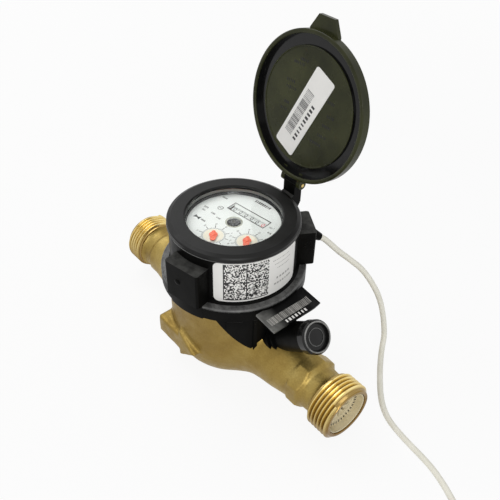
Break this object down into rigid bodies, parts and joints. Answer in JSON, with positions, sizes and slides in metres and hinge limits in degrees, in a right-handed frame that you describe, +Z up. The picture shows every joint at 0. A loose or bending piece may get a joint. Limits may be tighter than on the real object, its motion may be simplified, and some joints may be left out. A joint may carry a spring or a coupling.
{
  "type": "water meter",
  "caption": "In-line brass water meter with threaded pipe ends, round register under a black shroud, hinged lid standing open, sealing plug and a pale signal lead ending in a coil",
  "frame": {"origin": "centre of the flat underside of the bowl, on the register axis", "axes": "+X along the pipe towards the outlet, +Y towards the lid hinge, +Z up"},
  "size_m": [0.291, 0.1416, 0.1883],
  "materials": {
    "cast_brass": "rough cast with machined ends",
    "black_plastic": "moulded satin black",
    "lid_plastic": "glossy olive black moulding",
    "white_plastic": "natural white moulding",
    "steel": "turned",
    "magnet": "sintered",
    "rubber": "moulded",
    "copper_can": "drawn sheet",
    "dial_white": "printed",
    "pointer_red": "moulded orange red",
    "drum_white": "printed drums",
    "window_glass": "clear",
    "label_paper": "printed sticker",
    "pin_brass": "turned and bright",
    "tag_black": "glossy printed tag",
    "cable_cream": "soft cream sheath",
    "core_wire": "insulated cores with stripped ends"
  },
  "bodies": {
    "meter": {"meter_body": "cast_brass", "inlet_strainer": "white_plastic", "valve_cage": "white_plastic", "valve_spring": "steel", "chamber_basket": "white_plastic", "pivot_pin": "steel", "chamber_cover": "white_plastic", "pressure_plate": "cast_brass", "body_seal": "rubber", "lock_ring": "cast_brass", "register_can": "copper_can", "movement_frame": "white_plastic", "drum_axle": "steel", "dial_plate": "dial_white", "register_glass": "window_glass", "glass_seal": "rubber", "bezel_ring": "black_plastic", "shroud": "black_plastic", "serial_label": "label_paper", "pulse_sensor": "black_plastic", "cable_gland": "black_plastic", "saddle_block": "black_plastic", "plug_barrel": "black_plastic", "plug_cap": "black_plastic", "tag_plate": "tag_black", "hinge_pin": "pin_brass", "pulse_cable": "cable_cream", "cable_coil": "cable_cream", "cable_end": "cable_cream", "core_tails": "core_wire", "cable_tie": "black_plastic"},
    "lid": {"lid": "lid_plastic", "lid_label": "label_paper"},
    "rotor": {"impeller": "white_plastic", "drive_magnet": "magnet"},
    "spindle": {"follower_magnet": "magnet", "centre_spindle": "steel", "star_wheel": "steel"},
    "gear_one": {"first_gear": "white_plastic"},
    "pointer_one": {"pointer_arbor_a": "white_plastic", "pointer_hand_a": "pointer_red"},
    "gear_two": {"second_gear": "white_plastic"},
    "pointer_two": {"pointer_arbor_b": "white_plastic", "pointer_hand_b": "pointer_red"},
    "check_poppet": {"valve_poppet": "white_plastic"},
    "counter_1": {"drum_1": "drum_white"},
    "counter_2": {"drum_2": "drum_white"},
    "counter_3": {"drum_3": "drum_white"},
    "counter_4": {"drum_4": "drum_white"},
    "counter_5": {"drum_5": "drum_white"},
    "counter_6": {"drum_6": "drum_white"}
  },
  "joints": [
    {"name": "lid_hinge", "type": "hinge", "parent": "meter", "child": "lid", "pos_m": [-0.001, 0.0433, 0.0992], "axis": [-1, 0, 0], "range_deg": [-100, 0]},
    {"name": "rotor_spin", "type": "hinge", "parent": "meter", "child": "rotor", "pos_m": [0, 0, 0.02], "axis": [0, 0, 1], "continuous": true},
    {"name": "spindle_spin", "type": "hinge", "parent": "meter", "child": "spindle", "pos_m": [0, 0, 0.07], "axis": [0, 0, 1], "continuous": true},
    {"name": "gear_one_spin", "type": "hinge", "parent": "meter", "child": "gear_one", "pos_m": [-0.00791, -0.00903, 0.074], "axis": [0, 0, 1], "continuous": true},
    {"name": "pointer_one_spin", "type": "hinge", "parent": "meter", "child": "pointer_one", "pos_m": [0.0022, -0.0155, 0.074], "axis": [0, 0, 1], "continuous": true},
    {"name": "gear_two_spin", "type": "hinge", "parent": "meter", "child": "gear_two", "pos_m": [0.00522, -0.00766, 0.08], "axis": [0, 0, 1], "continuous": true},
    {"name": "pointer_two_spin", "type": "hinge", "parent": "meter", "child": "pointer_two", "pos_m": [0.0169, -0.0049, 0.074], "axis": [0, 0, 1], "continuous": true},
    {"name": "counter_1_spin", "type": "hinge", "parent": "meter", "child": "counter_1", "pos_m": [0.0003, 0.0102, 0.0834], "axis": [0.9903, 0.1392, 0], "continuous": true},
    {"name": "counter_2_spin", "type": "hinge", "parent": "meter", "child": "counter_2", "pos_m": [0.0003, 0.0102, 0.0834], "axis": [0.9903, 0.1392, 0], "continuous": true},
    {"name": "counter_3_spin", "type": "hinge", "parent": "meter", "child": "counter_3", "pos_m": [0.0003, 0.0102, 0.0834], "axis": [0.9903, 0.1392, 0], "continuous": true},
    {"name": "counter_4_spin", "type": "hinge", "parent": "meter", "child": "counter_4", "pos_m": [0.0003, 0.0102, 0.0834], "axis": [0.9903, 0.1392, 0], "continuous": true},
    {"name": "counter_5_spin", "type": "hinge", "parent": "meter", "child": "counter_5", "pos_m": [0.0003, 0.0102, 0.0834], "axis": [0.9903, 0.1392, 0], "continuous": true},
    {"name": "counter_6_spin", "type": "hinge", "parent": "meter", "child": "counter_6", "pos_m": [0.0003, 0.0102, 0.0834], "axis": [0.9903, 0.1392, 0], "continuous": true},
    {"name": "check_valve_slide", "type": "slide", "parent": "meter", "child": "check_poppet", "axis": [1, 0, 0], "range_m": [0, 0.004], "deforming": ["valve_spring"]}
  ],
  "couplings": [
    {"joint": "spindle_spin", "follows": "rotor_spin", "ratio": 1},
    {"joint": "gear_one_spin", "follows": "rotor_spin", "ratio": -0.25},
    {"joint": "pointer_one_spin", "follows": "rotor_spin", "ratio": 0.0625},
    {"joint": "gear_two_spin", "follows": "rotor_spin", "ratio": -0.025},
    {"joint": "pointer_two_spin", "follows": "rotor_spin", "ratio": 0.00625},
    {"joint": "counter_6_spin", "follows": "rotor_spin", "ratio": -0.000625},
    {"joint": "counter_5_spin", "follows": "rotor_spin", "ratio": -0.0000625},
    {"joint": "counter_4_spin", "follows": "rotor_spin", "ratio": -0.00000625},
    {"joint": "counter_3_spin", "follows": "rotor_spin", "ratio": -0.000000625},
    {"joint": "counter_2_spin", "follows": "rotor_spin", "ratio": -0.0000000625},
    {"joint": "counter_1_spin", "follows": "rotor_spin", "ratio": -0.00000000625}
  ]
}
